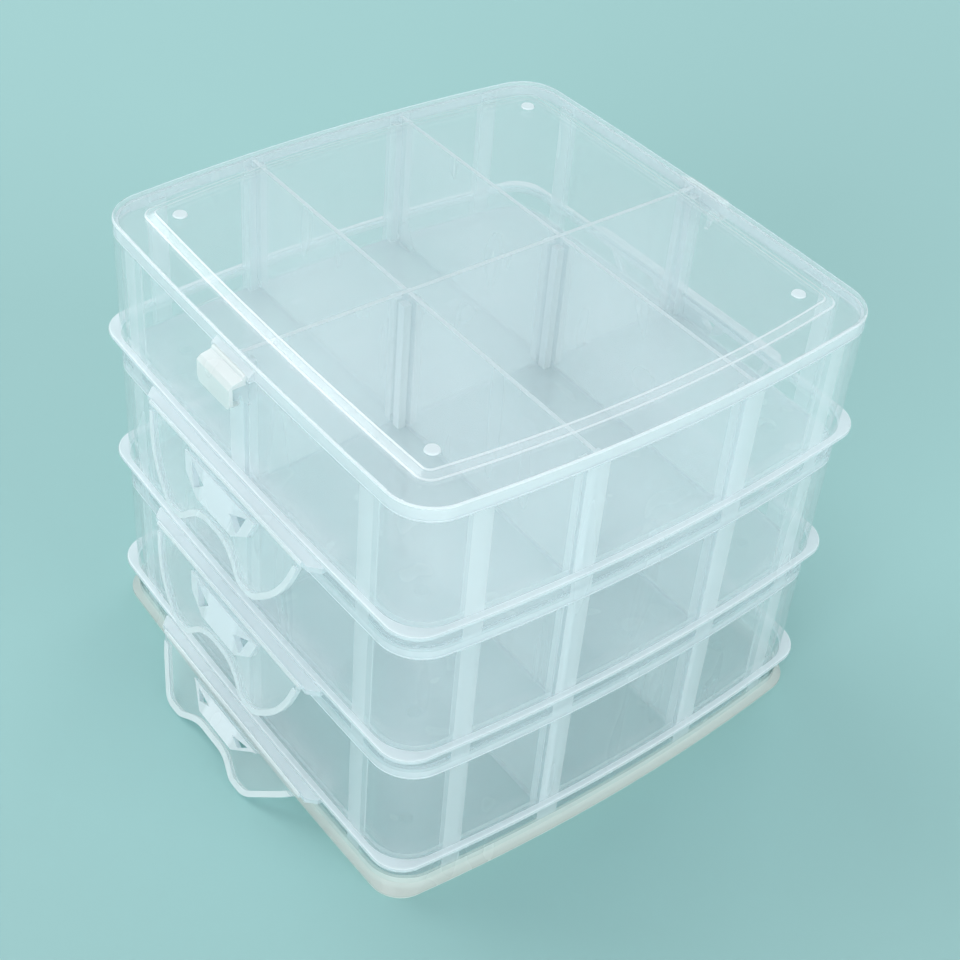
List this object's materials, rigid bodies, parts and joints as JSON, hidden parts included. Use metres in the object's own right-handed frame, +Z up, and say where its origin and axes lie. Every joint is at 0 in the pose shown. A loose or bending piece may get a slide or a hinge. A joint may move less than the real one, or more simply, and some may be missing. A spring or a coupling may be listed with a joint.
{
  "type": "stacking bead organizer",
  "caption": "Translucent stacking craft organizer: square trays with lift-out dividers clip together with hinged side buckles under a lid held by two catches.",
  "frame": {"origin": "centre of the box's base on the table", "axes": "+Z up through the stack, +X and -X towards the two buckle sides, +Y towards the back"},
  "size_m": [0.1762, 0.1558, 0.1377],
  "materials": {
    "tray_plastic": "frosted translucent polypropylene, moulded",
    "lid_plastic": "clear-frosted translucent polypropylene, glossy",
    "divider_plastic": "frosted translucent polypropylene sheet",
    "clip_plastic": "milky translucent polypropylene"
  },
  "bodies": {
    "tray_bottom": {"tray_bottom": "tray_plastic"},
    "tray_middle": {"tray_middle": "tray_plastic"},
    "tray_top": {"tray_top": "tray_plastic"},
    "row_divider_bottom": {"row_divider_bottom": "divider_plastic"},
    "row_divider_middle": {"row_divider_middle": "divider_plastic"},
    "row_divider_top": {"row_divider_top": "divider_plastic"},
    "column_divider_bottom_front_left": {"column_divider_bottom_front_left": "divider_plastic"},
    "column_divider_bottom_back_left": {"column_divider_bottom_back_left": "divider_plastic"},
    "column_divider_bottom_front_right": {"column_divider_bottom_front_right": "divider_plastic"},
    "column_divider_bottom_back_right": {"column_divider_bottom_back_right": "divider_plastic"},
    "column_divider_middle_front_left": {"column_divider_middle_front_left": "divider_plastic"},
    "column_divider_middle_back_left": {"column_divider_middle_back_left": "divider_plastic"},
    "column_divider_middle_front_right": {"column_divider_middle_front_right": "divider_plastic"},
    "column_divider_middle_back_right": {"column_divider_middle_back_right": "divider_plastic"},
    "column_divider_top_front_left": {"column_divider_top_front_left": "divider_plastic"},
    "column_divider_top_back_left": {"column_divider_top_back_left": "divider_plastic"},
    "column_divider_top_front_right": {"column_divider_top_front_right": "divider_plastic"},
    "column_divider_top_back_right": {"column_divider_top_back_right": "divider_plastic"},
    "buckle_bottom_left": {"buckle_bottom_left": "clip_plastic"},
    "buckle_bottom_right": {"buckle_bottom_right": "clip_plastic"},
    "buckle_middle_left": {"buckle_middle_left": "clip_plastic"},
    "buckle_middle_right": {"buckle_middle_right": "clip_plastic"},
    "buckle_top_left": {"buckle_top_left": "clip_plastic"},
    "buckle_top_right": {"buckle_top_right": "clip_plastic"},
    "lid": {"lid": "lid_plastic"},
    "lid_catch_left": {"lid_catch_left": "clip_plastic"},
    "lid_catch_right": {"lid_catch_right": "clip_plastic"}
  },
  "joints": [
    {"name": "tray_middle_lift", "type": "slide", "parent": "tray_bottom", "child": "tray_middle", "axis": [0, 0, 1], "range_m": [0, 0.1]},
    {"name": "tray_top_lift", "type": "slide", "parent": "tray_middle", "child": "tray_top", "axis": [0, 0, 1], "range_m": [0, 0.1]},
    {"name": "lid_lift", "type": "slide", "parent": "tray_top", "child": "lid", "axis": [0, 0, 1], "range_m": [0, 0.1]},
    {"name": "row_divider_bottom_lift", "type": "slide", "parent": "tray_bottom", "child": "row_divider_bottom", "axis": [0, 0, 1], "range_m": [0, 0.042]},
    {"name": "column_divider_bottom_front_left_lift", "type": "slide", "parent": "tray_bottom", "child": "column_divider_bottom_front_left", "axis": [0, 0, 1], "range_m": [0, 0.042]},
    {"name": "column_divider_bottom_back_left_lift", "type": "slide", "parent": "tray_bottom", "child": "column_divider_bottom_back_left", "axis": [0, 0, 1], "range_m": [0, 0.042]},
    {"name": "column_divider_bottom_front_right_lift", "type": "slide", "parent": "tray_bottom", "child": "column_divider_bottom_front_right", "axis": [0, 0, 1], "range_m": [0, 0.042]},
    {"name": "column_divider_bottom_back_right_lift", "type": "slide", "parent": "tray_bottom", "child": "column_divider_bottom_back_right", "axis": [0, 0, 1], "range_m": [0, 0.042]},
    {"name": "row_divider_middle_lift", "type": "slide", "parent": "tray_middle", "child": "row_divider_middle", "axis": [0, 0, 1], "range_m": [0, 0.042]},
    {"name": "column_divider_middle_front_left_lift", "type": "slide", "parent": "tray_middle", "child": "column_divider_middle_front_left", "axis": [0, 0, 1], "range_m": [0, 0.042]},
    {"name": "column_divider_middle_back_left_lift", "type": "slide", "parent": "tray_middle", "child": "column_divider_middle_back_left", "axis": [0, 0, 1], "range_m": [0, 0.042]},
    {"name": "column_divider_middle_front_right_lift", "type": "slide", "parent": "tray_middle", "child": "column_divider_middle_front_right", "axis": [0, 0, 1], "range_m": [0, 0.042]},
    {"name": "column_divider_middle_back_right_lift", "type": "slide", "parent": "tray_middle", "child": "column_divider_middle_back_right", "axis": [0, 0, 1], "range_m": [0, 0.042]},
    {"name": "row_divider_top_lift", "type": "slide", "parent": "tray_top", "child": "row_divider_top", "axis": [0, 0, 1], "range_m": [0, 0.042]},
    {"name": "column_divider_top_front_left_lift", "type": "slide", "parent": "tray_top", "child": "column_divider_top_front_left", "axis": [0, 0, 1], "range_m": [0, 0.042]},
    {"name": "column_divider_top_back_left_lift", "type": "slide", "parent": "tray_top", "child": "column_divider_top_back_left", "axis": [0, 0, 1], "range_m": [0, 0.042]},
    {"name": "column_divider_top_front_right_lift", "type": "slide", "parent": "tray_top", "child": "column_divider_top_front_right", "axis": [0, 0, 1], "range_m": [0, 0.042]},
    {"name": "column_divider_top_back_right_lift", "type": "slide", "parent": "tray_top", "child": "column_divider_top_back_right", "axis": [0, 0, 1], "range_m": [0, 0.042]},
    {"name": "lid_catch_left_hinge", "type": "hinge", "parent": "lid", "child": "lid_catch_left", "pos_m": [-0.0762, 0, 0.1328], "axis": [0, 1, 0], "range_deg": [0, 60]},
    {"name": "buckle_bottom_left_hinge", "type": "hinge", "parent": "tray_bottom", "child": "buckle_bottom_left", "pos_m": [-0.079, 0, 0.0115], "axis": [0, 1, 0], "range_deg": [0, 65]},
    {"name": "buckle_middle_left_hinge", "type": "hinge", "parent": "tray_middle", "child": "buckle_middle_left", "pos_m": [-0.079, 0, 0.0545], "axis": [0, 1, 0], "range_deg": [0, 95]},
    {"name": "buckle_top_left_hinge", "type": "hinge", "parent": "tray_top", "child": "buckle_top_left", "pos_m": [-0.079, 0, 0.0975], "axis": [0, 1, 0], "range_deg": [0, 95]},
    {"name": "lid_catch_right_hinge", "type": "hinge", "parent": "lid", "child": "lid_catch_right", "pos_m": [0.0762, 0, 0.1328], "axis": [0, -1, 0], "range_deg": [0, 60]},
    {"name": "buckle_bottom_right_hinge", "type": "hinge", "parent": "tray_bottom", "child": "buckle_bottom_right", "pos_m": [0.079, 0, 0.0115], "axis": [0, -1, 0], "range_deg": [0, 65]},
    {"name": "buckle_middle_right_hinge", "type": "hinge", "parent": "tray_middle", "child": "buckle_middle_right", "pos_m": [0.079, 0, 0.0545], "axis": [0, -1, 0], "range_deg": [0, 95]},
    {"name": "buckle_top_right_hinge", "type": "hinge", "parent": "tray_top", "child": "buckle_top_right", "pos_m": [0.079, 0, 0.0975], "axis": [0, -1, 0], "range_deg": [0, 95]}
  ],
  "couplings": [
    {"joint": "row_divider_bottom_lift", "follows": "tray_middle_lift", "ratio": 0.42},
    {"joint": "column_divider_bottom_front_left_lift", "follows": "tray_middle_lift", "ratio": 0.42},
    {"joint": "column_divider_bottom_back_left_lift", "follows": "tray_middle_lift", "ratio": 0.42},
    {"joint": "column_divider_bottom_front_right_lift", "follows": "tray_middle_lift", "ratio": 0.42},
    {"joint": "column_divider_bottom_back_right_lift", "follows": "tray_middle_lift", "ratio": 0.42},
    {"joint": "row_divider_middle_lift", "follows": "tray_top_lift", "ratio": 0.42},
    {"joint": "column_divider_middle_front_left_lift", "follows": "tray_top_lift", "ratio": 0.42},
    {"joint": "column_divider_middle_back_left_lift", "follows": "tray_top_lift", "ratio": 0.42},
    {"joint": "column_divider_middle_front_right_lift", "follows": "tray_top_lift", "ratio": 0.42},
    {"joint": "column_divider_middle_back_right_lift", "follows": "tray_top_lift", "ratio": 0.42},
    {"joint": "row_divider_top_lift", "follows": "lid_lift", "ratio": 0.42},
    {"joint": "column_divider_top_front_left_lift", "follows": "lid_lift", "ratio": 0.42},
    {"joint": "column_divider_top_back_left_lift", "follows": "lid_lift", "ratio": 0.42},
    {"joint": "column_divider_top_front_right_lift", "follows": "lid_lift", "ratio": 0.42},
    {"joint": "column_divider_top_back_right_lift", "follows": "lid_lift", "ratio": 0.42}
  ]
}
